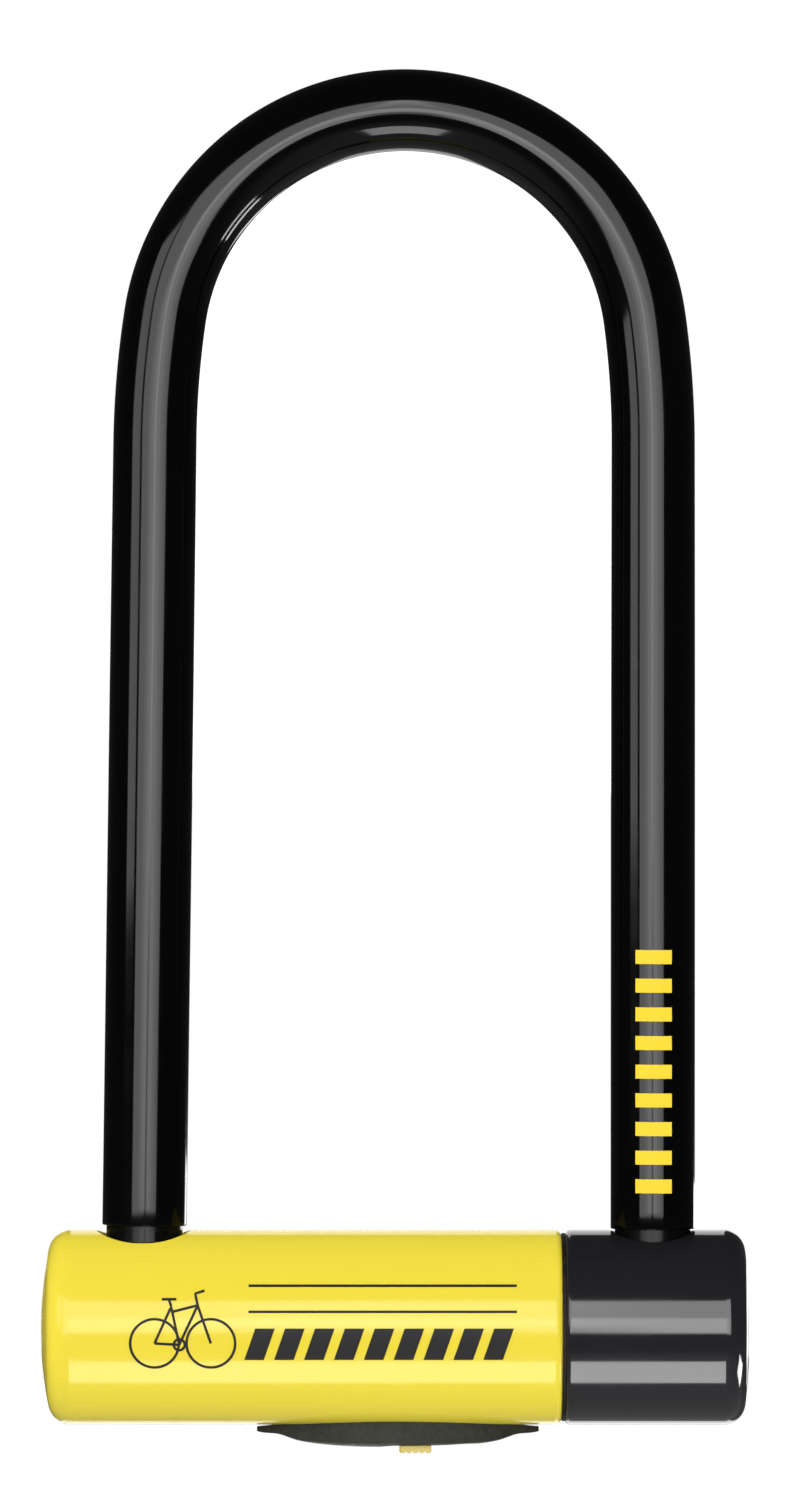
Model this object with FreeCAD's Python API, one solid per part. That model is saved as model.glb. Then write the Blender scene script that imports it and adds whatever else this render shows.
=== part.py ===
"""A heavy bicycle U lock: a coated steel shackle, a round jacketed crossbar, and the lock inside it.

Units are millimetres. The origin is on the crossbar's axis, midway between the two legs.
+X runs along the crossbar towards the black end cover, +Z up the legs to the bow, and -Y is the front.
A disc cylinder stands in the middle of the crossbar with its keyway pointing down. Its rotor turns a
cam with two spiral slots, and each slot drives one bolt outwards into a notch in a shackle foot.
At rest the lock is closed with both bolts drawn back, so the shackle is free to lift out.
"""

import FreeCAD, Part
import math
import os

V = FreeCAD.Vector
X, Y, Z = V(1, 0, 0), V(0, 1, 0), V(0, 0, 1)
ORIGIN = V(0, 0, 0)
SIDES = {"left": -1, "right": 1}

# --- driving dimensions ---------------------------------------------------------------------------

# shackle
ROD_R = 9.0  # 18 mm hardened rod
COAT_R = 10.0  # the rod with its 1 mm vinyl coat
LEG_X = 60.2  # leg centre from the middle, at the crossbar's axis
LEG_LEAN = math.radians(0.375)  # each leg leans inwards by this much, towards the bow
BEND_START_Z = 209.0  # the legs are straight up to here
EASE_R, EASE_TURN = 218.6, math.radians(7.73)  # slow bend between a leg and the bow
TILT = 0.40  # degrees: the whole shackle leans this much towards +X, in its sockets' clearance
FOOT_Z = -9.75  # underside of the bare feet, before the tilt
FOOT_CHAMFER = 1.2
COAT_END_Z = 23.7  # the coat stops just above the crossbar
NOTCH_DEPTH, NOTCH_HALF = 5.2, 7.0

# crossbar shells, all round the X axis
JACKET_R = 23.0
GUARD_R = 20.8  # outside of the hardened sleeve, inside of the jacket
TUBE_R = 19.3  # outside of the tube, inside of the sleeve
BORE_R = 15.3  # inside of the tube
JACKET_X = (-84.4, 38.7)
COVER_X = (39.5, 83.05)
TUBE_X = (-80.2, 79.0)
JACKET_DOME_R, JACKET_CORNER_R = 93.0, 5.5
COVER_DOME_R, COVER_CORNER_R = 170.0, 5.2
JACKET_RIM_R, COVER_RIM_R = 1.7, 1.2  # rounding of the two rims that meet at the seam
SEAM_RING_R = 22.2

# sockets for the feet
SOCKET_X = 60.15
SOCKET_R = 9.5
SOCKET_FLOOR_Z = -11.4
BUSH_R = 10.6
LEFT_MOUTH = (11.0, 10.2)  # half length and half width of the jacket's long mouth
RIGHT_MOUTH_R = 9.9
MOUTH_EDGE = 0.5  # rounding of both mouths
GUIDE_X = (46.0, 74.6)
BUMPER_R, BUMPER_T = 9.3, 0.85

# lock cylinder, round the Z axis
HOUSING_R, HOUSING_Z = 9.0, (-18.6, 2.0)
HOUSING_BORE_R = 6.87
HOUSING_LIP = 1.1  # thickness of the lip that the rotor stands on
ROTOR_R, ROTOR_TOP_Z = 6.8, 1.0
ROTOR_BORE_R, ROTOR_FLOOR_Z = 6.05, -0.6
DISC_R, DISC_T, SPACER_T = 5.95, 1.55, 0.5
DISC_CODES = (0, 45, 15, 60, 30, 0, 45)  # how far each disc's key slot is turned, in degrees
KEY_SLOT = (7.6, 2.4)
STACK_Z = -15.6  # underside of the first spacer
SHELF_GAP = 0.03  # air between stacked discs
PLATE_Z = (-17.3, -15.75)
SIDEBAR_R, SIDEBAR_AT, SIDEBAR_Z = 0.95, 5.8, (-15.6, -1.4)
SIDEBAR_TRAVEL = 1.15
GATE_HALF = 1.05
GROOVE_HALF = 1.1

# cam and bolts
CAM_R, CAM_Z = 13.1, (3.0, 5.4)
BOLT_TRAVEL = 5.2
CAM_TURN = math.radians(90)
PIN_START = 5.6  # drive pin's distance from the Z axis with the bolt drawn back
PIN_R, SLOT_HALF = 1.25, 1.35
BOLT_R = 6.0
BOLT_X = (14.2, 50.6)  # inner end and nose with the bolt drawn back
TAIL_HALF, TAIL_Z = 3.6, (5.8, 8.6)
TAIL_ROOT_X, TAIL_ROOT_Z = 26.0, 3.5
HUB_HALF = 2.15

# chassis that carries the cylinder, the cam and the bolts
CHASSIS_X = 45.6
SPLIT_Z = 2.4
SLIDE_GAP = 0.15  # running room round the bolts and the cam
SCREW_AT = (22.0, 9.6)
SCREW_R, SCREW_HEAD_R = 1.5, 2.6
SCREW_Z = (-6.0, 7.0, 8.7)  # point, underside of the head, top of the head
TUBE_PIN_AT = (32.0, -10.5)  # x and z of the two pins that hold the chassis in the tube
PIN_STOCK_R = 1.5
LOCK_PIN_AT = (9.6, -5.0)

# keyway bezel and the sliding dust cover under the crossbar
BEZEL_HALF = (33.3, 7.0)  # half length and half width of its pointed outline
# x and radius of the bezel's hull, from its tip to its middle
BEZEL_PROFILE = ((33.3, 24.6), (30.8, 25.0), (28.4, 25.2), (24.8, 26.4), (20.0, 27.4), (0.0, 28.3))
BEZEL_AXIS_Z = -8.0  # the bezel bulges round an axis at this height
SPIGOT_R, SPIGOT_Z = 6.4, -18.75
KEY_MOUTH_R = 4.4
PEG_X, PEG_R, PEG_Z = 24.0, 1.6, -20.9
TRACK_Z = (-26.75, -25.4)  # the undercut that holds the dust cover's flanges
TRACK_HALF, WINDOW_HALF = 5.3, 4.55
COVER_TRAVEL = 9.6
PLATE_X = (-4.9, 8.2)  # dust cover's plate when it is shut
TAB_X, TAB_HALF, TAB_Z = (0.35, 7.9), 3.4, -29.6
END_ROOM = 0.5

# --- helpers --------------------------------------------------------------------------------------


def rod(radius, start, end):
    """A solid cylinder between two points."""
    run = end - start
    return Part.makeCylinder(radius, run.Length, start, run)


def upright(radius, z0, z1, x=0.0, y=0.0):
    """A solid cylinder along Z."""
    return rod(radius, V(x, y, z0), V(x, y, z1))


def bar(radius, x0, x1, y=0.0, z=0.0):
    """A solid cylinder along X."""
    return rod(radius, V(x0, y, z), V(x1, y, z))


def block(x, y, z):
    """A box from three (low, high) pairs."""
    return Part.makeBox(x[1] - x[0], y[1] - y[0], z[1] - z[0], V(x[0], y[0], z[0]))


def lozenge(centre, half_length, half_width, z0, z1, along_y=False):
    """A vertical prism whose outline is two half circles joined by straight sides."""
    reach = half_length - half_width
    step = Y * reach if along_y else X * reach
    across = X * half_width if along_y else Y * half_width
    a, b = centre + V(0, 0, z0) - step, centre + V(0, 0, z0) + step
    tip = step.normalize() if step.Length else X
    edges = [
        Part.makeLine(a - across, b - across),
        Part.Arc(b - across, b + tip * half_width, b + across).toShape(),
        Part.makeLine(b + across, a + across),
        Part.Arc(a + across, a - tip * half_width, a - across).toShape(),
    ]
    return Part.Face(Part.Wire(edges)).extrude(V(0, 0, z1 - z0))


def shell(outer, inner, x0, x1):
    """A round tube along X."""
    return bar(outer, x0, x1).cut(bar(inner, x0, x1))


def spun(edges, axis):
    """The solid that a closed outline sweeps when it turns once about an axis through the origin."""
    return Part.Face(Part.Wire(edges)).revolve(ORIGIN, axis, 360)


def near(edge, point, reach):
    return edge.distToShape(Part.Vertex(point))[0] < reach


def mirrored(shape):
    """The same shape on the other side of the middle."""
    return shape.mirror(ORIGIN, X)


def together(shapes):
    return shapes[0].multiFuse(shapes[1:]).removeSplitter()


# --- shackle --------------------------------------------------------------------------------------


def leg_point(side, z):
    return V(SIDES[side] * (LEG_X - math.tan(LEG_LEAN) * z), 0, z)


def ring_of(centre_point, tangent, outer, inner):
    """A flat disc, or a ring if inner isn't 0, square to the shackle's centre line."""
    edge = Part.Wire(Part.makeCircle(outer, centre_point, tangent))
    if not inner:
        return Part.Face(edge)
    return Part.Face([edge, Part.Wire(Part.makeCircle(inner, centre_point, tangent))])


def half_bow(outer, inner):
    """The right half of the bow: a slow bend, then one round arc to the crown."""
    start = leg_point("right", BEND_START_Z)
    easing = ring_of(start, V(-math.sin(LEG_LEAN), 0, math.cos(LEG_LEAN)), outer, inner)
    pivot = start - V(math.cos(LEG_LEAN), 0, math.sin(LEG_LEAN)) * EASE_R
    eased = easing.revolve(pivot, -Y, math.degrees(EASE_TURN))
    turn = LEG_LEAN + EASE_TURN
    radial = V(math.cos(turn), 0, math.sin(turn))
    bow_start = pivot + radial * EASE_R
    bow_r = bow_start.x / math.cos(turn)
    face = ring_of(bow_start, V(-math.sin(turn), 0, math.cos(turn)), outer, inner)
    bow = face.revolve(bow_start - radial * bow_r, -Y, 90 - math.degrees(turn))
    return [eased, bow]


def crown_z():
    """Height of the centre line at the crown, from the same arcs as half_bow."""
    start, turn = leg_point("right", BEND_START_Z), LEG_LEAN + EASE_TURN
    x = start.x + EASE_R * (math.cos(turn) - math.cos(LEG_LEAN))
    z = start.z + EASE_R * (math.sin(turn) - math.sin(LEG_LEAN))
    return z + (x / math.cos(turn)) * (1 - math.sin(turn))


def shackle(outer, inner, end_z):
    """A rod or a sleeve along the whole centre line, with both legs starting at one height."""
    pieces = []
    for side in SIDES:
        top = leg_point(side, BEND_START_Z)
        foot = leg_point(side, end_z)
        leg = rod(outer, foot, top)
        if inner:
            leg = leg.cut(rod(inner, foot, top))
        pieces.append(leg)
    right = half_bow(outer, inner)
    return together(pieces + right + [mirrored(s) for s in right])


def tilted(solid):
    solid.rotate(ORIGIN, Y, TILT)
    return solid


def shackle_rod():
    """The rod, with chamfered feet and a notch for a bolt in the inner side of each."""
    solid = shackle(ROD_R, 0, FOOT_Z)
    feet = [e for e in solid.Edges if e.BoundBox.ZMax < FOOT_Z + 1 and e.Length > 3 * ROD_R]
    solid = solid.makeChamfer(FOOT_CHAMFER, feet)
    for sign in SIDES.values():
        face_x = sign * (LEG_X - ROD_R + NOTCH_DEPTH)
        span = sorted((face_x, sign * (LEG_X - 2 * ROD_R)))
        solid = solid.cut(block(span, (-COAT_R, COAT_R), (-NOTCH_HALF, NOTCH_HALF)))
    return tilted(solid)


def shackle_coat():
    return tilted(shackle(COAT_R, ROD_R, COAT_END_Z))


# --- crossbar shells ------------------------------------------------------------------------------


def capped_shell(closed_x, open_x, dome_r, corner_r, rim_r, wall_x):
    """A sleeve round the X axis, domed and closed at closed_x and open at open_x."""
    out = 1 if closed_x > open_x else -1
    dome_x = closed_x - out * dome_r
    corner_y = JACKET_R - corner_r
    reach = dome_r - corner_r
    corner_x = dome_x + out * math.sqrt(reach**2 - corner_y**2)
    corner = V(corner_x, 0, corner_y)
    meet = V(dome_x, 0, 0) + (corner - V(dome_x, 0, 0)) * (dome_r / reach)
    half_way = math.asin(corner_y / reach) / 2
    on_dome = V(dome_x + out * dome_r * math.cos(half_way), 0, dome_r * math.sin(half_way))
    out_angle = (math.pi / 2 + math.asin(corner_y / reach)) / 2
    on_corner = corner + V(out * math.cos(out_angle), 0, math.sin(out_angle)) * corner_r
    rim = V(open_x + out * rim_r, 0, JACKET_R - rim_r)
    slant = math.sqrt(0.5) * rim_r
    tip, shoulder = V(closed_x, 0, 0), V(corner_x, 0, JACKET_R)
    top, side = V(rim.x, 0, JACKET_R), V(open_x, 0, rim.z)
    lip, inner_corner = V(open_x, 0, GUARD_R), V(wall_x, 0, GUARD_R)
    back = V(wall_x, 0, 0)
    edges = [
        Part.Arc(tip, on_dome, meet).toShape(),
        Part.Arc(meet, on_corner, shoulder).toShape(),
        Part.makeLine(shoulder, top),
        Part.Arc(top, rim + V(-out * slant, 0, slant), side).toShape(),
        Part.makeLine(side, lip),
        Part.makeLine(lip, inner_corner),
        Part.makeLine(inner_corner, back),
        Part.makeLine(back, tip),
    ]
    return spun(edges, X)


def round_mouth(solid, hole_x, reach):
    """Rounds the outer edge of a foot's mouth in the crossbar's top."""
    edges = []
    for edge in solid.Edges:
        box = edge.BoundBox
        on_top = box.ZMin > GUARD_R - 1.5 and abs(box.Center.x - hole_x) < reach
        outside = all(math.hypot(v.Point.y, v.Point.z) > JACKET_R - 0.01 for v in edge.Vertexes)
        if on_top and outside and box.XLength < 2.2 * reach:
            edges.append(edge)
    return solid.makeFillet(MOUTH_EDGE, edges)


def crossbar_jacket():
    wall_x = TUBE_X[0] - 0.2
    solid = capped_shell(JACKET_X[0], JACKET_X[1], JACKET_DOME_R, JACKET_CORNER_R, JACKET_RIM_R, wall_x)
    mouth = lozenge(V(-SOCKET_X, 0, 0), LEFT_MOUTH[0], LEFT_MOUTH[1], 0, 2 * JACKET_R)
    solid = round_mouth(solid.cut(mouth), -SOCKET_X, LEFT_MOUTH[0])
    solid = solid.cut(upright(SPIGOT_R + 0.1, -2 * JACKET_R, 0))
    for x in (-PEG_X, PEG_X):
        solid = solid.cut(upright(PEG_R + 0.05, -2 * JACKET_R, 0, x))
    return solid


def end_cover():
    wall_x = TUBE_X[1] + 0.2
    solid = capped_shell(COVER_X[1], COVER_X[0], COVER_DOME_R, COVER_CORNER_R, COVER_RIM_R, wall_x)
    solid = solid.cut(upright(RIGHT_MOUTH_R, 0, 2 * JACKET_R, SOCKET_X))
    return round_mouth(solid, SOCKET_X, RIGHT_MOUTH_R)


def seam_ring():
    return shell(SEAM_RING_R, GUARD_R, JACKET_X[1], COVER_X[0])


def socket_cuts():
    """The two holes for the feet and the one for the cylinder, through tube and sleeve alike."""
    cuts = [upright(BUSH_R, 0, 2 * JACKET_R, sign * SOCKET_X) for sign in SIDES.values()]
    return cuts + [upright(HOUSING_R + 0.05, -2 * JACKET_R, 0)]


def crossbar_tube():
    solid = shell(TUBE_R, BORE_R, *TUBE_X)
    for cut in socket_cuts():
        solid = solid.cut(cut)
    for pin in chassis_pins().Solids + end_plug_pins().Solids:
        solid = solid.cut(pin)
    return solid


def guard_sleeve():
    solid = shell(GUARD_R, TUBE_R, *TUBE_X)
    for cut in socket_cuts():
        solid = solid.cut(cut)
    return solid


def end_plug(side):
    """A steel plug in the tube's end, with a shallow dish turned in its outer face."""
    outer = TUBE_X[0] if side == "left" else TUBE_X[1]
    inner = SIDES[side] * (GUIDE_X[1] + 0.2)
    solid = bar(BORE_R, inner, outer)
    dish_r, dish_depth = 9.0, 1.2
    solid = solid.cut(bar(dish_r, outer - SIDES[side] * dish_depth, outer + SIDES[side]))
    for pin in end_plug_pins().Solids:
        solid = solid.cut(pin)
    return solid


def end_plug_pins():
    """One pin each end, pressed up through the tube's underside into the plug."""
    depth = 9.0
    pins = []
    for sign, tube_end in zip(SIDES.values(), TUBE_X):
        x = (tube_end + sign * GUIDE_X[1]) / 2
        pins.append(upright(PIN_STOCK_R, -TUBE_R + 0.3, -depth, x))
    return Part.makeCompound(pins)


# --- foot sockets ---------------------------------------------------------------------------------


def foot_guide(side):
    """A block in the tube that guides one foot down and one bolt across."""
    sign = SIDES[side]
    solid = bar(BORE_R, sign * GUIDE_X[0], sign * GUIDE_X[1])
    solid = solid.cut(upright(SOCKET_R, SOCKET_FLOOR_Z, BORE_R + 1, sign * SOCKET_X))
    return solid.cut(bar(BOLT_R + SLIDE_GAP, 0, sign * SOCKET_X))


def foot_bumper(side):
    """A rubber pad on the socket's floor, with a drain hole, that stops the foot rattling."""
    x = SIDES[side] * SOCKET_X
    drain_r = 2.0
    pad = upright(BUMPER_R, SOCKET_FLOOR_Z, SOCKET_FLOOR_Z + BUMPER_T, x)
    return pad.cut(upright(drain_r, SOCKET_FLOOR_Z, 0, x))


def mouth_bush(side):
    """A bush that lines the foot's hole through the tube and the sleeve."""
    x = SIDES[side] * SOCKET_X
    ring = upright(BUSH_R, 0, JACKET_R, x).cut(upright(SOCKET_R, 0, JACKET_R, x))
    return ring.common(shell(GUARD_R, BORE_R, x - 2 * BUSH_R, x + 2 * BUSH_R))


# --- chassis --------------------------------------------------------------------------------------


def chassis_hollows():
    """Everything that is cut from the chassis: cylinder, cam, bolts, tails, screws and pins."""
    cuts = [
        upright(HOUSING_R + 0.05, -2 * BORE_R, SPLIT_Z),
        upright(CAM_R + 0.3, SPLIT_Z, CAM_Z[1] + 0.2),
        bar(BOLT_R + SLIDE_GAP, -2 * CHASSIS_X, -BOLT_X[0] + 0.6),
        bar(BOLT_R + SLIDE_GAP, BOLT_X[0] - 0.6, 2 * CHASSIS_X),
    ]
    tail_end = TAIL_ROOT_X + BOLT_TRAVEL + END_ROOM
    tail_y = TAIL_HALF + SLIDE_GAP
    cuts.append(block((-tail_end, tail_end), (-tail_y, tail_y), (SPLIT_Z, TAIL_Z[1] + SLIDE_GAP)))
    for sx in (-1, 1):
        for sy in (-1, 1):
            x, y = sx * SCREW_AT[0], sy * SCREW_AT[1]
            cuts.append(upright(SCREW_R, SCREW_Z[0], SCREW_Z[1] + 1, x, y))
            cuts.append(upright(SCREW_HEAD_R, SCREW_Z[1], BORE_R, x, y))
    return cuts + chassis_pins().Solids + [cylinder_lock_pin()]


def chassis_half(z0, z1):
    solid = bar(BORE_R, -CHASSIS_X, CHASSIS_X)
    solid = solid.common(block((-CHASSIS_X, CHASSIS_X), (-BORE_R, BORE_R), (z0, z1)))
    for cut in chassis_hollows():
        solid = solid.cut(cut)
    return solid


def chassis_screws():
    """Four socket screws that hold the two halves of the chassis together."""
    point, seat, top = SCREW_Z
    socket_r, socket_depth = 1.3, 1.1
    screws = []
    for sx in (-1, 1):
        for sy in (-1, 1):
            x, y = sx * SCREW_AT[0], sy * SCREW_AT[1]
            screw = upright(SCREW_R, point, seat, x, y).fuse(upright(SCREW_HEAD_R, seat, top, x, y))
            hexagon = [V(x, y, top) + V(math.cos(a), math.sin(a), 0) * socket_r for a in turns(6)]
            socket = Part.Face(Part.makePolygon(hexagon + hexagon[:1])).extrude(V(0, 0, -socket_depth))
            screws.append(screw.cut(socket))
    return Part.makeCompound(screws)


def turns(count):
    return [2 * math.pi * i / count for i in range(count)]


def chassis_pins():
    """Two pins across the tube that stop the chassis from sliding out."""
    x, z = TUBE_PIN_AT
    reach = math.sqrt(TUBE_R**2 - (abs(z) + PIN_STOCK_R) ** 2) - 0.1
    return Part.makeCompound([rod(PIN_STOCK_R, V(s * x, -reach, z), V(s * x, reach, z)) for s in (-1, 1)])


def cylinder_lock_pin():
    """A pin that lies half in the chassis and half in the housing, and keeps the cylinder in."""
    x, z = LOCK_PIN_AT
    half_length = 11.0
    return rod(PIN_R, V(x, -half_length, z), V(x, half_length, z))


# --- lock cylinder --------------------------------------------------------------------------------


def gate(inner, half, outer, z):
    """A radial slot on the +Y side, with a round bottom."""
    slot = block((-half, half), (inner + half, outer), z)
    return slot.fuse(upright(half, z[0], z[1], 0, inner + half))


def key_slot(z, turn=0.0):
    slot = block((-KEY_SLOT[0] / 2, KEY_SLOT[0] / 2), (-KEY_SLOT[1] / 2, KEY_SLOT[1] / 2), z)
    slot.rotate(ORIGIN, Z, turn)
    return slot


def cylinder_housing():
    """The fixed shell, with one groove for the sidebar at each end of the key's turn."""
    z0, z1 = HOUSING_Z
    lip_top = z0 + HOUSING_LIP
    lip_hole_r, ring_seat = 5.4, snap_seat()
    solid = upright(HOUSING_R, z0, z1).cut(upright(HOUSING_BORE_R, lip_top, z1))
    solid = solid.cut(upright(lip_hole_r, z0, z1))
    reach = SIDEBAR_AT + SIDEBAR_TRAVEL + SIDEBAR_R + 0.15
    for quarter in (0, 90):
        groove = block((-GROOVE_HALF, GROOVE_HALF), (0, reach), (SIDEBAR_Z[0] - 0.3, SIDEBAR_Z[1] + 0.3))
        groove.rotate(ORIGIN, Z, quarter)
        solid = solid.cut(groove)
    solid = solid.cut(upright(ring_seat[0], ring_seat[1], ring_seat[2]))
    return solid.cut(cylinder_lock_pin())


def snap_seat():
    """Radius, bottom and top of the groove for the snap ring over the rotor."""
    return 7.5, ROTOR_TOP_Z + 0.1, ROTOR_TOP_Z + 0.75


def rotor_snap_ring():
    radius, z0, z1 = snap_seat()
    gap_half, inner_r = 1.6, 4.6
    ring = upright(radius, z0, z1 - 0.05).cut(upright(inner_r, z0, z1))
    return ring.cut(block((0, HOUSING_R), (-gap_half, gap_half), (z0, z1)))


def cylinder_rotor():
    """The drum that holds the discs, with a square tail that drives the cam."""
    bottom = HOUSING_Z[0] + HOUSING_LIP
    neck_r, stud_r, groove_r = 4.2, 2.1, 1.7
    neck_z, square_z, stud_z = CAM_Z[0] - 0.1, CAM_Z[1] + 0.1, 7.2
    drum = upright(ROTOR_R, bottom + 0.02, ROTOR_TOP_Z).cut(upright(ROTOR_BORE_R, bottom, ROTOR_FLOOR_Z))
    square = block((-HUB_HALF, HUB_HALF), (-HUB_HALF, HUB_HALF), (neck_z, square_z))
    neck = upright(neck_r, ROTOR_TOP_Z, neck_z)
    stud = upright(stud_r, square_z, stud_z)
    solid = together([drum, neck, square, stud])
    clip_z = clip_seat()
    groove = upright(2 * stud_r, *clip_z).cut(upright(groove_r, *clip_z))
    slot = block((-GATE_HALF, GATE_HALF), (0, ROTOR_R + 1), (SIDEBAR_Z[0] - 0.1, SIDEBAR_Z[1] + 0.1))
    slot = slot.cut(upright(ROTOR_BORE_R - 0.5, SIDEBAR_Z[0] - 1, SIDEBAR_Z[1] + 1))
    return solid.cut(groove).cut(slot)


def clip_seat():
    """Bottom and top of the groove for the cam's clip."""
    return CAM_Z[1] + 0.2, CAM_Z[1] + 0.7


def cam_clip():
    """An open clip that holds the cam down on the rotor's square."""
    z0, z1 = clip_seat()
    outer_r, inner_r, mouth_half = 2.9, 1.7, 1.3
    ring = upright(outer_r, z0, z1).cut(upright(inner_r, z0, z1))
    return ring.cut(block((-mouth_half, mouth_half), (-outer_r, 0), (z0, z1)))


def front_plate():
    """The hardened plate at the rotor's mouth, with the key's slot."""
    slot_half = (3.95, 1.25)
    plate = upright(DISC_R, *PLATE_Z)
    return plate.cut(lozenge(ORIGIN, slot_half[0], slot_half[1], *PLATE_Z))


def stack_height(index):
    """Underside of the spacer under disc number index."""
    return STACK_Z + index * (DISC_T + SPACER_T)


def detainer_discs():
    """The coded discs, turned so that all their gates are in line under the sidebar."""
    inner = SIDEBAR_AT - SIDEBAR_R - 0.1
    discs = []
    for index, code in enumerate(DISC_CODES):
        z = (stack_height(index) + SPACER_T, stack_height(index + 1) - SHELF_GAP)
        disc = upright(DISC_R, *z).cut(gate(inner, GATE_HALF, DISC_R + 1, z)).cut(key_slot(z, code))
        shallow = gate(DISC_R - 0.5, 0.7, DISC_R + 1, z)
        shallow.rotate(ORIGIN, Z, 100 + code)
        discs.append(disc.cut(shallow))
    return Part.makeCompound(discs)


def disc_spacers():
    """Open rings between the discs, which keep one disc from dragging the next."""
    inner_r = 4.7
    rings = []
    for index in range(len(DISC_CODES) + 1):
        z = (stack_height(index), stack_height(index) + SPACER_T - SHELF_GAP)
        ring = upright(DISC_R, *z).cut(upright(inner_r, *z))
        rings.append(ring.cut(block((-GATE_HALF, GATE_HALF), (0, DISC_R + 1), z)))
    return Part.makeCompound(rings)


def sidebar():
    z0, z1 = SIDEBAR_Z
    end_chamfer = 0.25
    solid = upright(SIDEBAR_R, z0, z1, 0, SIDEBAR_AT)
    return solid.makeChamfer(end_chamfer, [e for e in solid.Edges if e.Curve.TypeId == "Part::GeomCircle"])


# --- cam and bolts --------------------------------------------------------------------------------


def spiral_slot():
    """One slot of the cam. Its radius grows in step with its angle, so a bolt moves evenly."""
    pitch = BOLT_TRAVEL / CAM_TURN
    spare = math.radians(1.5)
    steps = 18
    sides = {-1: [], 1: []}
    for i in range(steps + 1):
        t = -spare + (CAM_TURN + 2 * spare) * i / steps
        radius = PIN_START + pitch * t
        at = V(math.cos(-t), math.sin(-t), 0)
        along = at * pitch + V(math.sin(-t), -math.cos(-t), 0) * radius
        normal = V(-along.y, along.x, 0).normalize()
        for sign, points in sides.items():
            points.append(at * radius + normal * (sign * SLOT_HALF))
    ends = []
    for i in (0, -1):
        a, b = sides[-1][i], sides[1][i]
        outward = V(b.y - a.y, a.x - b.x, 0).normalize() * (SLOT_HALF if i else -SLOT_HALF)
        ends.append((a, (a + b) / 2 + outward, b))
    low, high = Part.BSplineCurve(), Part.BSplineCurve()
    low.interpolate(sides[-1])
    high.interpolate(sides[1])
    edges = [low.toShape(), high.toShape()] + [Part.Arc(*end).toShape() for end in ends]
    slot = Part.Face(Part.Wire(Part.__sortEdges__(edges))).extrude(V(0, 0, CAM_Z[1] - CAM_Z[0]))
    slot.translate(V(0, 0, CAM_Z[0]))
    return slot


def drive_cam():
    solid = upright(CAM_R, *CAM_Z)
    hole = HUB_HALF + 0.05
    solid = solid.cut(block((-hole, hole), (-hole, hole), CAM_Z))
    for half_turn in (0, 180):
        slot = spiral_slot()
        slot.rotate(ORIGIN, Z, half_turn)
        solid = solid.cut(slot)
    return solid


def bolt(side):
    """A round bolt with a chamfered nose, and a flat tail that reaches over the cam."""
    nose_chamfer = 0.8
    body = bar(BOLT_R, *BOLT_X)
    nose = [e for e in body.Edges if e.BoundBox.XMin > BOLT_X[1] - 0.1]
    body = body.makeChamfer(nose_chamfer, nose)
    end_r = 2.4
    straight = block((PIN_START, TAIL_ROOT_X), (-end_r, end_r), TAIL_Z)
    root = block((BOLT_X[0], TAIL_ROOT_X), (-TAIL_HALF, TAIL_HALF), (TAIL_ROOT_Z, TAIL_Z[1]))
    solid = together([body, straight, root, upright(end_r, *TAIL_Z, PIN_START)])
    solid = solid.cut(upright(PIN_R, CAM_Z[0], TAIL_Z[1], PIN_START))
    return mirrored(solid) if side == "left" else solid


def bolt_pin(side):
    """The pin under a bolt's tail that runs in the cam's slot."""
    return upright(PIN_R, CAM_Z[0] + 0.2, TAIL_Z[1], SIDES[side] * PIN_START)


# --- bezel and dust cover -------------------------------------------------------------------------


def eye_prism(half_length, half_width, z0, z1):
    """A vertical prism with a pointed outline made of two arcs."""
    a, b = V(-half_length, 0, z0), V(half_length, 0, z0)
    edges = [Part.Arc(a, V(0, side * half_width, z0), b).toShape() for side in (-1, 1)]
    return Part.Face(Part.Wire(edges)).extrude(V(0, 0, z1 - z0))


def bezel_body():
    """A low hull along the crossbar's underside: thin lips at both tips and a swell between."""
    right = [V(x, 0, -r) for x, r in BEZEL_PROFILE]
    points = [V(-p.x, 0, p.z) for p in right[:-1]] + right[::-1]
    hull = Part.BSplineCurve()
    hull.interpolate(points)
    back, tip = points[0], points[-1]
    low, high = V(back.x, 0, BEZEL_AXIS_Z), V(tip.x, 0, BEZEL_AXIS_Z)
    edges = [hull.toShape(), Part.makeLine(tip, high), Part.makeLine(high, low), Part.makeLine(low, back)]
    swell = Part.Face(Part.Wire(edges)).revolve(low, X, 360)
    solid = swell.common(eye_prism(*BEZEL_HALF, -2 * JACKET_R, -JACKET_R / 2))
    return solid.cut(bar(JACKET_R, -JACKET_X[1], JACKET_X[1])).cut(tip_relief(1)).cut(tip_relief(-1))


def tip_relief(sign):
    """A shallow cone that lifts the bezel's tip off the jacket."""
    seat_x, lift = 27.0, 0.5
    cone = Part.makeCone(JACKET_R, JACKET_R + lift, BEZEL_HALF[0] + 1 - seat_x, ORIGIN, X * sign)
    cone.translate(X * (sign * seat_x))
    return cone


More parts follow.
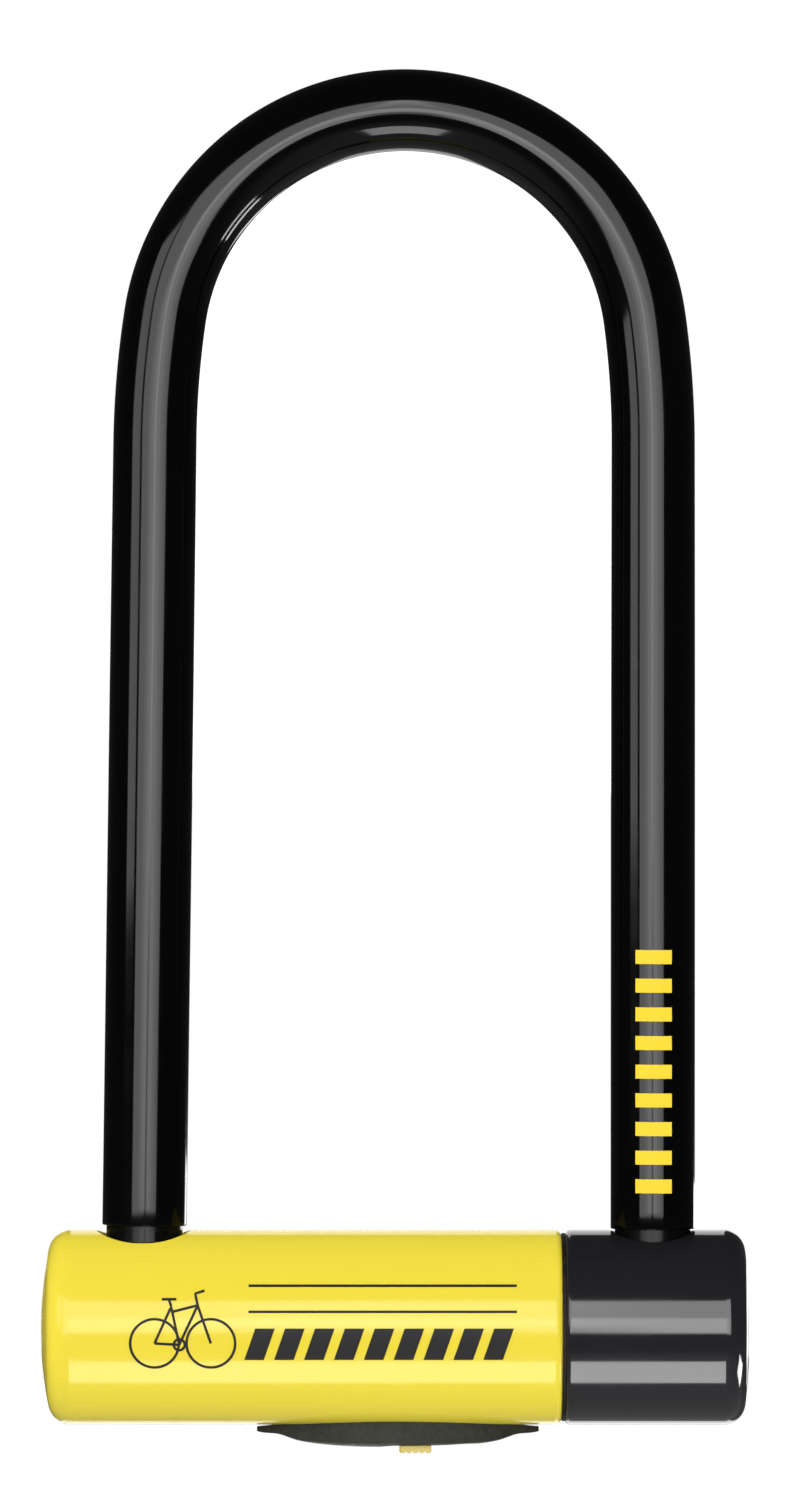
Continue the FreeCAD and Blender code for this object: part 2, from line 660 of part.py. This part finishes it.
def keyway_bezel():
    """The moulding round the keyway, with a spigot, two pegs, and a track for the dust cover."""
    solid = bezel_body().fuse(upright(SPIGOT_R, -JACKET_R - 1, SPIGOT_Z))
    for x in (-PEG_X, PEG_X):
        solid = solid.fuse(upright(PEG_R, -JACKET_R - 1, PEG_Z, x))
    far = TAB_X[1] + COVER_TRAVEL + 0.6 + 1.3  # the window's round end clears the tab's corners
    for half, x0, x1, z0, z1 in (
        (TRACK_HALF, PLATE_X[0] - 0.2, PLATE_X[1] + COVER_TRAVEL + END_ROOM, *TRACK_Z),
        (WINDOW_HALF, PLATE_X[0] + 0.2, far, -2 * JACKET_R, TRACK_Z[1]),
    ):
        middle, half_length = V((x0 + x1) / 2, 0, 0), (x1 - x0) / 2
        solid = solid.cut(lozenge(middle, half_length, half, z0, z1))
    return solid.cut(upright(KEY_MOUTH_R, -2 * JACKET_R, 0)).removeSplitter()


def dust_cover():
    """The slide over the keyway: a flanged plate in the track, with a ribbed thumb tab."""
    x0, x1 = PLATE_X
    room = 0.12
    low, high = TRACK_Z[0] + room, TRACK_Z[1] - room
    flange = lozenge(V((x0 + x1) / 2, 0, 0), (x1 - x0) / 2, TRACK_HALF - room, low, high)
    face_x0, face_z = x0 + 0.7, -27.5
    face = lozenge(V((face_x0 + x1) / 2, 0, 0), (x1 - face_x0) / 2, WINDOW_HALF - room, face_z, high)
    tab = block(TAB_X, (-TAB_HALF, TAB_HALF), (TAB_Z, high))
    rounded = [e for e in tab.Edges if e.BoundBox.ZMax < TAB_Z + 0.01 or e.BoundBox.ZLength > 1]
    tab = tab.makeFillet(0.6, rounded)
    ribs, rib_half, rib_depth = 4, 0.28, 0.3
    step = (TAB_X[1] - TAB_X[0]) / (ribs + 1)
    for i in range(ribs):
        x = TAB_X[0] + step * (i + 1)
        tab = tab.cut(block((x - rib_half, x + rib_half), (-TAB_HALF, TAB_HALF), (TAB_Z, TAB_Z + rib_depth)))
    return together([flange, face, tab])


# --- all parts ------------------------------------------------------------------------------------


def parts():
    made = {
        "shackle_rod": shackle_rod(),
        "shackle_coat": shackle_coat(),
        "crossbar_jacket": crossbar_jacket(),
        "end_cover": end_cover(),
        "seam_ring": seam_ring(),
        "crossbar_tube": crossbar_tube(),
        "guard_sleeve": guard_sleeve(),
        "end_plug_pins": end_plug_pins(),
        "chassis_lower": chassis_half(-BORE_R, SPLIT_Z),
        "chassis_upper": chassis_half(SPLIT_Z, BORE_R),
        "chassis_screws": chassis_screws(),
        "chassis_pins": chassis_pins(),
        "cylinder_lock_pin": cylinder_lock_pin(),
        "cylinder_housing": cylinder_housing(),
        "rotor_snap_ring": rotor_snap_ring(),
        "cylinder_rotor": cylinder_rotor(),
        "front_plate": front_plate(),
        "detainer_discs": detainer_discs(),
        "disc_spacers": disc_spacers(),
        "sidebar": sidebar(),
        "drive_cam": drive_cam(),
        "cam_clip": cam_clip(),
        "keyway_bezel": keyway_bezel(),
        "dust_cover": dust_cover(),
    }
    for side in SIDES:
        made[f"{side}_end_plug"] = end_plug(side)
        made[f"{side}_foot_guide"] = foot_guide(side)
        made[f"{side}_foot_bumper"] = foot_bumper(side)
        made[f"{side}_mouth_bush"] = mouth_bush(side)
        made[f"{side}_bolt"] = bolt(side)
        made[f"{side}_bolt_pin"] = bolt_pin(side)
    return made


def main():
    os.makedirs("parts", exist_ok=True)
    for name, shape in parts().items():
        solids = shape.Solids
        volume = sum(s.Volume for s in solids)
        print(f"{name}: {len(solids)} solid(s), valid {shape.isValid()}, {volume:.1f} mm3")
        Part.makeCompound(solids).exportStep(f"parts/{name}.step")
    print(f"crown centre line at z {crown_z():.2f}")


main()
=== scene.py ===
"""Looks of the bicycle U lock: materials, the coat's skin, the printed graphics, lights and camera."""

import math

import bpy
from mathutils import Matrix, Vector


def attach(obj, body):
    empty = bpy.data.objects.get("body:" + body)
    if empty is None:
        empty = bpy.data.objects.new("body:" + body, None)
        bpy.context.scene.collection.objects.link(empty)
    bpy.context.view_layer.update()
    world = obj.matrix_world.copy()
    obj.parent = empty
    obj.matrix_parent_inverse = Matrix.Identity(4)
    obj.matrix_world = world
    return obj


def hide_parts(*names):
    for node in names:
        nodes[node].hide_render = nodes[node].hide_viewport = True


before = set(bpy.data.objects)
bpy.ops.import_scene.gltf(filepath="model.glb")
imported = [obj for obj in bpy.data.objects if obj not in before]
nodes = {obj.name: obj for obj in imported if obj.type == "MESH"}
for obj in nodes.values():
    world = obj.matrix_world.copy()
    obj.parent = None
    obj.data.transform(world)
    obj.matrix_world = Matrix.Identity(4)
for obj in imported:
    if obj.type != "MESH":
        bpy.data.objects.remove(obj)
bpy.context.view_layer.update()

MM = 0.001
MICRON = 0.000001

# --- the shackle's centre line, in millimetres, as the CAD part has it ----------------------------

COAT_R, ROD_R = 10.0, 9.0
LEG_X, LEAN = 60.2, math.radians(0.375)
BEND_START_Z = 209.0
EASE_R, EASE_TURN = 218.6, math.radians(7.73)
COAT_END_Z = 23.7
TILT = math.radians(0.40)  # the whole shackle leans this much towards +X


# --- helpers --------------------------------------------------------------------------------------


def mesh_piece(name, verts, faces, body, material):
    """A new smooth-shaded piece from vertices in millimetres, which rides on a CAD body."""
    mesh = bpy.data.meshes.new(name)
    mesh.from_pydata([Vector(v) * MM for v in verts], [], faces)
    mesh.validate()
    mesh.update()
    mesh.shade_smooth()
    piece = bpy.data.objects.new(name, mesh)
    bpy.context.scene.collection.objects.link(piece)
    piece.data.materials.append(material)
    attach(piece, body)
    return piece


def grid(rows, closed=False):
    """Vertices and quads of a grid of points. closed joins each row's end to its start."""
    verts = [v for row in rows for v in row]
    wide = len(rows[0])
    faces = []
    for i in range(len(rows) - 1):
        for j in range(wide if closed else wide - 1):
            k = (j + 1) % wide
            faces.append((i * wide + j, i * wide + k, (i + 1) * wide + k, (i + 1) * wide + j))
    return verts, faces


def join(parts):
    """Several (verts, faces) as one."""
    verts, faces = [], []
    for v, f in parts:
        start = len(verts)
        verts += v
        faces += [tuple(i + start for i in face) for face in f]
    return verts, faces


# --- materials ------------------------------------------------------------------------------------

NOISE_SPAN = (0.35, 0.65)  # nearly all of a noise texture's values lie between these
EVEN = (1, 1, 1)
ALONG_X, ALONG_Y, ALONG_Z = (0.08, 1, 1), (1, 0.08, 1), (1, 1, 0.08)  # drawn out along a tool's path


class Look:
    """A Principled material whose colour, roughness and relief can vary with position on the piece."""

    def __init__(self, name, color, roughness, metallic=0.0, specular=0.5, chalky=0.0):
        self.material = bpy.data.materials.new(name)
        self.material.use_nodes = True
        self.tree = self.material.node_tree
        self.shader = self.tree.nodes["Principled BSDF"]
        self.color, self.roughness = color, roughness
        self.shader.inputs["Base Color"].default_value = (*color, 1)
        self.shader.inputs["Roughness"].default_value = roughness
        self.shader.inputs["Metallic"].default_value = metallic
        self.shader.inputs["Specular IOR Level"].default_value = specular
        self.shader.inputs["Diffuse Roughness"].default_value = chalky
        self.place = self.tree.nodes.new("ShaderNodeTexCoord").outputs["Object"]

    def noise(self, scale, detail, stretch=EVEN):
        """A noise value over the piece. scale is in cycles a metre."""
        mapping = self.tree.nodes.new("ShaderNodeMapping")
        mapping.inputs["Scale"].default_value = stretch
        texture = self.tree.nodes.new("ShaderNodeTexNoise")
        texture.inputs["Scale"].default_value = scale
        texture.inputs["Detail"].default_value = detail
        self.tree.links.new(self.place, mapping.inputs["Vector"])
        self.tree.links.new(mapping.outputs["Vector"], texture.inputs["Vector"])
        return texture.outputs["Fac"]

    def ramp(self, value, low, high):
        """Spreads the middle of a noise value's range over low to high."""
        node = self.tree.nodes.new("ShaderNodeMapRange")
        for key, number in zip(("From Min", "From Max", "To Min", "To Max"), (*NOISE_SPAN, low, high)):
            node.inputs[key].default_value = number
        self.tree.links.new(value, node.inputs["Value"])
        return node.outputs["Result"]

    def uneven(self, scale, spread):
        """Lets the roughness drift by spread either way."""
        value = self.ramp(self.noise(scale, detail=4.0), self.roughness - spread, self.roughness + spread)
        self.tree.links.new(value, self.shader.inputs["Roughness"])
        return self

    def mottled(self, other, scale, amount=1.0):
        """Blends towards another colour in patches."""
        mix = self.tree.nodes.new("ShaderNodeMix")
        mix.data_type = "RGBA"
        mix.inputs["A"].default_value = (*self.color, 1)
        mix.inputs["B"].default_value = (*other, 1)
        value = self.ramp(self.noise(scale, detail=5.0), 0.0, amount)
        self.tree.links.new(value, mix.inputs["Factor"])
        self.tree.links.new(mix.outputs["Result"], self.shader.inputs["Base Color"])
        return self

    def relief(self, scale, microns, stretch=EVEN, detail=2.0):
        """Adds bumps of that depth."""
        bump = self.tree.nodes.new("ShaderNodeBump")
        bump.inputs["Strength"].default_value = 1.0
        bump.inputs["Distance"].default_value = microns * MICRON
        self.tree.links.new(self.noise(scale, detail, stretch), bump.inputs["Height"])
        self.tree.links.new(bump.outputs["Normal"], self.shader.inputs["Normal"])
        return self


looks = {}


def look(name, color, roughness, **more):
    looks[name] = Look(name, color, roughness, **more)
    return looks[name]


def bare_metal(name, color, roughness):
    return look(name, color, roughness, metallic=1.0)


# outside
jacket_yellow = look("yellow_jacket", (0.655, 0.545, 0.045), 0.14, specular=0.25, chalky=0.6)
jacket_yellow.uneven(25, 0.02).relief(300, 1)
look("black_cover", (0.01, 0.01, 0.012), 0.09).uneven(25, 0.02).relief(300, 1)
look("coat", (0.0008, 0.0008, 0.0009), 0.09, specular=0.24).uneven(40, 0.03).relief(90, 6)
look("foot_black", (0.002, 0.002, 0.002), 0.2, specular=0.17).uneven(200, 0.05)
bezel_black = look("bezel", (0.006, 0.006, 0.003), 0.5, specular=0.22)
bezel_black.mottled((0.016, 0.016, 0.008), 900, amount=0.7).uneven(300, 0.06).relief(4200, 30, detail=3.0)
look("tab", (0.55, 0.44, 0.11), 0.45, specular=0.35).relief(2500, 6)
seam_black = look("seam", (0.004, 0.003, 0.003), 0.7, specular=0.2)
seam_black.mottled((0.03, 0.016, 0.008), 500, amount=0.6).relief(2500, 40)
look("bush", (0.02, 0.02, 0.022), 0.5).relief(2500, 10)
look("rubber", (0.015, 0.015, 0.015), 0.75).relief(3000, 20)
look("ink", (0.012, 0.011, 0.011), 0.5, specular=0.15).uneven(400, 0.04)
look("leg_ink", (0.7, 0.49, 0.028), 0.6, specular=0.1).uneven(400, 0.04)

# metals inside
bare_metal("hardened", (0.16, 0.165, 0.18), 0.38).uneven(250, 0.08).relief(2500, 4, ALONG_X)
bare_metal("tube", (0.4, 0.4, 0.41), 0.36).uneven(200, 0.08).relief(2500, 5, ALONG_X)
bare_metal("plated", (0.62, 0.61, 0.57), 0.3).mottled((0.5, 0.5, 0.52), 240).uneven(300, 0.07)
bare_metal("ground", (0.55, 0.55, 0.56), 0.22).relief(3500, 3, ALONG_Z)
bare_metal("screws", (0.03, 0.03, 0.034), 0.42).uneven(600, 0.08)
bare_metal("cast", (0.5, 0.51, 0.52), 0.48).uneven(250, 0.08).relief(1800, 30, detail=4.0)
bare_metal("brass", (0.66, 0.46, 0.17), 0.28).uneven(300, 0.07).relief(3200, 4, ALONG_Y)
bare_metal("disc", (0.52, 0.5, 0.46), 0.33).uneven(500, 0.08).relief(2600, 5)
bare_metal("spring", (0.2, 0.2, 0.22), 0.3).uneven(500, 0.05)
bare_metal("bolt", (0.6, 0.6, 0.58), 0.28).uneven(220, 0.08).relief(2400, 4, ALONG_X)

wearers = {
    "yellow_jacket": ["crossbar_jacket"],
    "black_cover": ["end_cover"],
    "foot_black": ["shackle_rod"],
    "coat": ["shackle_coat"],
    "bezel": ["keyway_bezel"],
    "tab": ["dust_cover"],
    "seam": ["seam_ring"],
    "hardened": ["guard_sleeve", "front_plate"],
    "tube": ["crossbar_tube"],
    "plated": ["left_end_plug", "right_end_plug", "drive_cam"],
    "ground": [
        "end_plug_pins",
        "chassis_pins",
        "cylinder_lock_pin",
        "sidebar",
        "left_bolt_pin",
        "right_bolt_pin",
    ],
    "screws": ["chassis_screws"],
    "cast": ["chassis_lower", "chassis_upper", "left_foot_guide", "right_foot_guide"],
    "bush": ["left_mouth_bush", "right_mouth_bush"],
    "rubber": ["left_foot_bumper", "right_foot_bumper"],
    "brass": ["cylinder_housing", "cylinder_rotor", "disc_spacers"],
    "disc": ["detainer_discs"],
    "spring": ["rotor_snap_ring", "cam_clip"],
    "bolt": ["left_bolt", "right_bolt"],
}


def dress_nodes():
    for look_name, node_names in wearers.items():
        for name in node_names:
            mesh = nodes[name].data
            mesh.materials.clear()
            mesh.materials.append(looks[look_name].material)


# --- the coat's skin, in millimetres --------------------------------------------------------------

THINNING = 0.25  # the coat is this much thinner in the bow's plane than on the legs
THIN_START_Z, THIN_REACH = 150, 200  # on the legs it starts here, and would be full this much higher up
THIN_EASE, THIN_BOW, THIN_GROWTH = 0.3, 0.7, 1.2  # its share where each bend starts, and its rise in the bow
EDGE_R, EDGE_STEPS = 0.35, 5  # rounding of the coat's cut ends
LINING_R = ROD_R + 0.02  # inside of the coat, just clear of the rod
LINING_DEPTH = 1.5  # how far the skin is turned in between the coat and the rod
COAT_SIDES = 96
LEG_STATIONS, EASE_STATIONS, BOW_STATIONS = 40, 12, 48  # on each side of the crown


def leg_x(z):
    return LEG_X - math.tan(LEAN) * z


def centre_line():
    """Stations from the right coat end over the bow to the left: (x, z, outward angle, thinning)."""
    turn = LEAN + EASE_TURN
    right = []
    for i in range(LEG_STATIONS):
        z = COAT_END_Z + (BEND_START_Z - COAT_END_Z) * i / LEG_STATIONS
        right.append((leg_x(z), z, LEAN, max(0.0, z - THIN_START_Z) / THIN_REACH))
    pivot_x = leg_x(BEND_START_Z) - EASE_R * math.cos(LEAN)
    pivot_z = BEND_START_Z - EASE_R * math.sin(LEAN)
    for i in range(EASE_STATIONS):
        a = LEAN + EASE_TURN * i / EASE_STATIONS
        thinning = THIN_EASE + (THIN_BOW - THIN_EASE) * i / EASE_STATIONS
        right.append((pivot_x + EASE_R * math.cos(a), pivot_z + EASE_R * math.sin(a), a, thinning))
    start_x, start_z = pivot_x + EASE_R * math.cos(turn), pivot_z + EASE_R * math.sin(turn)
    bow_r = start_x / math.cos(turn)
    bow_z = start_z - bow_r * math.sin(turn)
    for i in range(BOW_STATIONS + 1):
        a = turn + (math.pi / 2 - turn) * i / BOW_STATIONS
        thinning = min(1.0, THIN_BOW + THIN_GROWTH * i / BOW_STATIONS)
        right.append((bow_r * math.cos(a), bow_z + bow_r * math.sin(a), a, thinning))
    left = [(-x, z, math.pi - a, thinning) for x, z, a, thinning in reversed(right[:-1])]
    return right + left


def tilted(verts):
    """Points of the shackle as it leans in its sockets."""
    c, s = math.cos(TILT), math.sin(TILT)
    return [(c * x + s * z, y, c * z - s * x) for x, y, z in verts]


def coat_ring(station, radius, shift=0.0):
    """One ring of the skin. A positive shift moves it onwards, towards the left leg's end."""
    x, z, angle, thinning = station
    out = Vector((math.cos(angle), 0, math.sin(angle)))
    onward = Vector((-out.z, 0, out.x))
    middle = Vector((x, 0, z)) + onward * shift
    reach = radius - THINNING * thinning
    ring = []
    for j in range(COAT_SIDES):
        t = 2 * math.pi * j / COAT_SIDES
        ring.append(middle + out * (reach * math.cos(t)) + Vector((0, 1, 0)) * (radius * math.sin(t)))
    return ring


def coat_end(station, onward):
    """A cut end's rings, from the lining to the edge. onward is 1 at the right end and -1 at the left."""
    rows = [coat_ring(station, LINING_R, onward * LINING_DEPTH)]
    rows += [coat_ring(station, radius) for radius in (LINING_R, COAT_R - EDGE_R)]
    for i in range(1, EDGE_STEPS + 1):
        a = math.pi / 2 * i / EDGE_STEPS
        radius = COAT_R - EDGE_R + EDGE_R * math.sin(a)
        rows.append(coat_ring(station, radius, onward * EDGE_R * (1 - math.cos(a))))
    return rows


def coat_skin():
    """The dipped coat: thinner in the bow's plane round the bow, with softly rounded cut ends."""
    line = centre_line()
    rows = coat_end(line[0], 1)
    rows += [coat_ring(station, COAT_R) for station in line[1:-1]]
    rows += reversed(coat_end(line[-1], -1))
    verts, faces = grid(rows, closed=True)
    skin = mesh_piece("coat_skin", tilted(verts), faces, "shackle", looks["coat"].material)
    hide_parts("shackle_coat")


# --- print, in millimetres ------------------------------------------------------------------------

JACKET_R = 23.0
PRINT_LIFT = 0.07  # the ink stands this far off, so that it never sinks into a curved face
SLAB_STEP, STROKE_STEP = 0.5, 0.6  # how finely blocks and lines follow the jacket's curve
LINE_WIDTH = 0.62


def on_jacket(x, z):
    """A point of the crossbar's front at that height, just clear of the jacket."""
    r = JACKET_R + PRINT_LIFT
    return (x, -math.sqrt(r * r - z * z), z)


def slab(x0, x1, z0, z1, slant=0.0):
    """A printed block with level top and bottom edges, which can lean to the right."""
    steps = max(2, int((z1 - z0) / SLAB_STEP))
    rows = []
    for i in range(steps + 1):
        z = z0 + (z1 - z0) * i / steps
        lean = slant * (z - z0)
        rows.append([on_jacket(x0 + lean, z), on_jacket(x1 + lean, z)])
    return grid(rows)


def stroke(points, closed=False):
    """A printed line of even width through points in the (x, z) plane."""
    path = []
    pairs = list(zip(points, points[1:] + points[:1]))
    for (ax, az), (bx, bz) in pairs if closed else pairs[:-1]:
        steps = max(1, int(math.hypot(bx - ax, bz - az) / STROKE_STEP))
        path += [(ax + (bx - ax) * i / steps, az + (bz - az) * i / steps) for i in range(steps)]
    if not closed:
        path.append(points[-1])
    rows = []
    last = len(path) - 1
    for i, (x, z) in enumerate(path):
        before = path[i - 1] if closed or i else path[0]
        after = path[(i + 1) % len(path)] if closed or i < last else path[last]
        dx, dz = after[0] - before[0], after[1] - before[1]
        size = math.hypot(dx, dz)
        nx, nz = -dz / size * LINE_WIDTH / 2, dx / size * LINE_WIDTH / 2
        rows.append([on_jacket(x - nx, z - nz), on_jacket(x + nx, z + nz)])
    if closed:
        rows.append(rows[0])
    return grid(rows)


def circle(x, z, r, count):
    angles = [2 * math.pi * i / count for i in range(count)]
    return [(x + r * math.cos(a), z + r * math.sin(a)) for a in angles]


def bicycle():
    """A small line drawing of a bicycle, as strokes."""
    rear, front, hub = (-57.0, -2.6), (-43.8, -2.6), (-51.2, -2.9)
    seat, head, bar = (-53.1, 6.0), (-46.9, 6.3), (-47.5, 9.0)
    wheel_r, chainring_r = 5.7, 1.3
    parts = [stroke(circle(*wheel, wheel_r, 48), closed=True) for wheel in (rear, front)]
    parts += [stroke(circle(*hub, chainring_r, 20), closed=True)]
    for points in (
        [rear, hub, seat, rear],
        [hub, head, (seat[0] + 0.25, seat[1] - 1.2)],
        [front, head, bar, (bar[0] + 2.2, bar[1] + 0.7)],
        [seat, (seat[0] - 0.5, seat[1] + 1.6)],
        [(seat[0] - 2.2, seat[1] + 1.7), (seat[0] + 1.2, seat[1] + 1.7)],
    ):
        parts.append(stroke(points))
    return parts


def jacket_print():
    """A line drawing of a bicycle, two thin rules and a row of leaning blocks."""
    parts = bicycle()
    rule_x, rule_half = (-35.0, 27.9), 0.3
    for z in (10.8, 4.8):
        parts.append(slab(*rule_x, z - rule_half, z + rule_half))
    blocks, first_x, pitch, wide, slant = 9, -36.0, 7.0, 4.6, 0.35
    block_z = (-6.5, 0.9)
    for i in range(blocks):
        x = first_x + pitch * i
        parts.append(slab(x, x + wide, *block_z, slant))
    verts, faces = join(parts)
    mesh_piece("jacket_print", verts, faces, "crossbar", looks["ink"].material)


def leg_print():
    """A ladder of plain bars up the front of the right leg."""
    bars, first_z, pitch, high = 9, 32.4, 6.75, 3.3
    half_wide, columns = 4.25, 16
    half_angle, radius = math.asin(half_wide / COAT_R), COAT_R + PRINT_LIFT
    angles = [-half_angle + 2 * half_angle * j / columns for j in range(columns + 1)]
    parts = []
    for i in range(bars):
        rows = []
        for z in (first_z + pitch * i, first_z + pitch * i + high):
            rows.append([(leg_x(z) + radius * math.sin(a), -radius * math.cos(a), z) for a in angles])
        parts.append(grid(rows))
    verts, faces = join(parts)
    ladder = mesh_piece("leg_print", tilted(verts), faces, "shackle", looks["leg_ink"].material)
    ladder.visible_glossy = False  # matt ink, so the polished cover below does not mirror it


# --- studio, in metres and degrees ----------------------------------------------------------------

FLOOR_LIGHT, WORLD_LIGHT = 0.05, 0.04  # how strongly the white floor and backdrop light the lock


def compass(azimuth, elevation):
    """A unit vector. Azimuth 0 is the camera's side, and it grows towards +X."""
    a, e = math.radians(azimuth), math.radians(elevation)
    return Vector((math.sin(a) * math.cos(e), -math.cos(a) * math.cos(e), math.sin(e)))


def softbox(name, azimuths, elevations, radiance, distance=1.6, target=(0, 0, 0.05), gloss=True, fill=True):
    """A rectangular light that fills those angles as seen from the lock.

    Polished surfaces mirror it if gloss is true, and it brightens matt ones if fill is true.
    """
    middle = compass(sum(azimuths) / 2, sum(elevations) / 2)
    lamp = bpy.data.lights.new(name, "AREA")
    lamp.shape = "RECTANGLE"
    lamp.size = 2 * distance * math.tan(math.radians(azimuths[1] - azimuths[0]) / 2)
    lamp.size_y = 2 * distance * math.tan(math.radians(elevations[1] - elevations[0]) / 2)
    lamp.energy = radiance * math.pi * lamp.size * lamp.size_y
    holder = bpy.data.objects.new(name, lamp)
    holder.location = Vector(target) + middle * distance
    holder.rotation_euler = middle.to_track_quat("Z", "Y").to_euler()
    holder.visible_camera = False
    holder.visible_glossy = gloss
    holder.visible_diffuse = fill
    bpy.context.scene.collection.objects.link(holder)


def floor_material():
    """Pale and plain. It lights the lock less than it looks, and is clear when seen from below."""
    material = bpy.data.materials.new("floor")
    material.use_nodes = True
    tree = material.node_tree
    shader = tree.nodes["Principled BSDF"]
    shader.inputs["Base Color"].default_value = (0.3, 0.3, 0.3, 1)
    shader.inputs["Roughness"].default_value = 1.0
    shader.inputs["Specular IOR Level"].default_value = 0.0
    shader.inputs["Emission Color"].default_value = (1, 1, 1, 1)
    white_for_camera(tree, FLOOR_LIGHT, shader.inputs["Emission Strength"])
    clear = tree.nodes.new("ShaderNodeBsdfTransparent")
    side = tree.nodes.new("ShaderNodeNewGeometry")
    mix = tree.nodes.new("ShaderNodeMixShader")
    tree.links.new(side.outputs["Backfacing"], mix.inputs["Fac"])
    tree.links.new(shader.outputs["BSDF"], mix.inputs[1])
    tree.links.new(clear.outputs["BSDF"], mix.inputs[2])
    tree.links.new(mix.outputs["Shader"], tree.nodes["Material Output"].inputs["Surface"])
    return material


def white_for_camera(tree, strength_as_light, socket):
    """The camera sees full white there, and the lock is lit by no more than strength_as_light."""
    path = tree.nodes.new("ShaderNodeLightPath")
    strength = tree.nodes.new("ShaderNodeMapRange")
    strength.inputs["To Min"].default_value = strength_as_light
    strength.inputs["To Max"].default_value = 1.0
    tree.links.new(path.outputs["Is Camera Ray"], strength.inputs["Value"])
    tree.links.new(strength.outputs["Result"], socket)


def floor():
    z, half = -0.9, 8.0
    corners = [(-half, -half, z), (half, -half, z), (half, half, z), (-half, half, z)]
    mesh = bpy.data.meshes.new("floor")
    mesh.from_pydata([Vector(corner) for corner in corners], [], [(0, 1, 2, 3)])
    mesh.update()
    mesh.materials.append(floor_material())
    plane = bpy.data.objects.new("floor", mesh)
    bpy.context.scene.collection.objects.link(plane)


def lights():
    # a wide panel in front, with a slit in the lower half of its middle
    softbox("key_left", (-36, -1.4), (-6.6, 33), 4.6)
    softbox("key_right", (1.6, 30), (-6.6, 33), 4.6)
    softbox("key_middle", (-1.4, 1.6), (1.5, 33), 4.6)
    # extra light in the panel's lower half, brighter towards the middle
    softbox("glow_wide", (-20, 22), (-5, 11.5), 1.2)
    softbox("glow_mid", (-12, 13), (-5, 11.5), 1.6)
    softbox("glow_core", (-3, 2), (0.5, 11.5), 3.0)
    # a panel at the left, and a strip and a fill from below
    softbox("side_panel", (-64, -41.5), (1.5, 30), 3.8)
    softbox("low_strip", (-10, 10), (-67, -40), 7.6, distance=1.0, fill=False)
    softbox("low_fill", (-10, 10), (-50, -30), 2.5, distance=1.0, gloss=False)
    # behind the lock, for the thin bright lines round its outline
    softbox("top_rim", (168, 192), (14, 38), 1.4, distance=0.5, target=(0, 0, 0))
    softbox("low_rim", (168, 192), (-50, -14), 1.8)
    softbox("back_wash", (168, 192), (-8, 8), 1.2, target=(0, 0, 0.12))
    # fills for the other views
    softbox("fill_back", (138, 222), (-10, 30), 2.0, gloss=False)
    softbox("fill_left", (-120, -70), (-10, 30), 1.4, gloss=False)
    softbox("fill_right", (70, 120), (-10, 30), 1.4, gloss=False)
    # small bright panels for the glints in the bow and on the end cover
    softbox("side_glint", (84, 104), (-44, -30), 18.0, distance=1.2, target=(-0.04, 0, 0.26))
    softbox("end_glint", (150, 168), (-6, 0), 5.0, distance=0.8, target=(0.08, 0, 0))


def backdrop():
    world = bpy.data.worlds.new("studio")
    world.use_nodes = True
    tree = world.node_tree
    background = tree.nodes["Background"]
    background.inputs["Color"].default_value = (1, 1, 1, 1)
    white_for_camera(tree, WORLD_LIGHT, background.inputs["Strength"])
    bpy.context.scene.world = world
    bpy.context.scene.view_settings.view_transform = "Standard"


def camera():
    """Level with the middle of the lock, far off, and square to the crossbar."""
    distance, view_height, middle, sensor = 2.5, 0.3517, (0.0005, 0.1378), 36
    data = bpy.data.cameras.new("camera")
    data.sensor_width = sensor
    data.lens = sensor * distance / view_height
    data.clip_end = 50
    holder = bpy.data.objects.new("camera", data)
    holder.location = (middle[0], -distance, middle[1])
    holder.rotation_euler = (math.pi / 2, 0, 0)
    bpy.context.scene.collection.objects.link(holder)
    bpy.context.scene.camera = holder


dress_nodes()
coat_skin()
jacket_print()
leg_print()
lights()
floor()
backdrop()
camera()
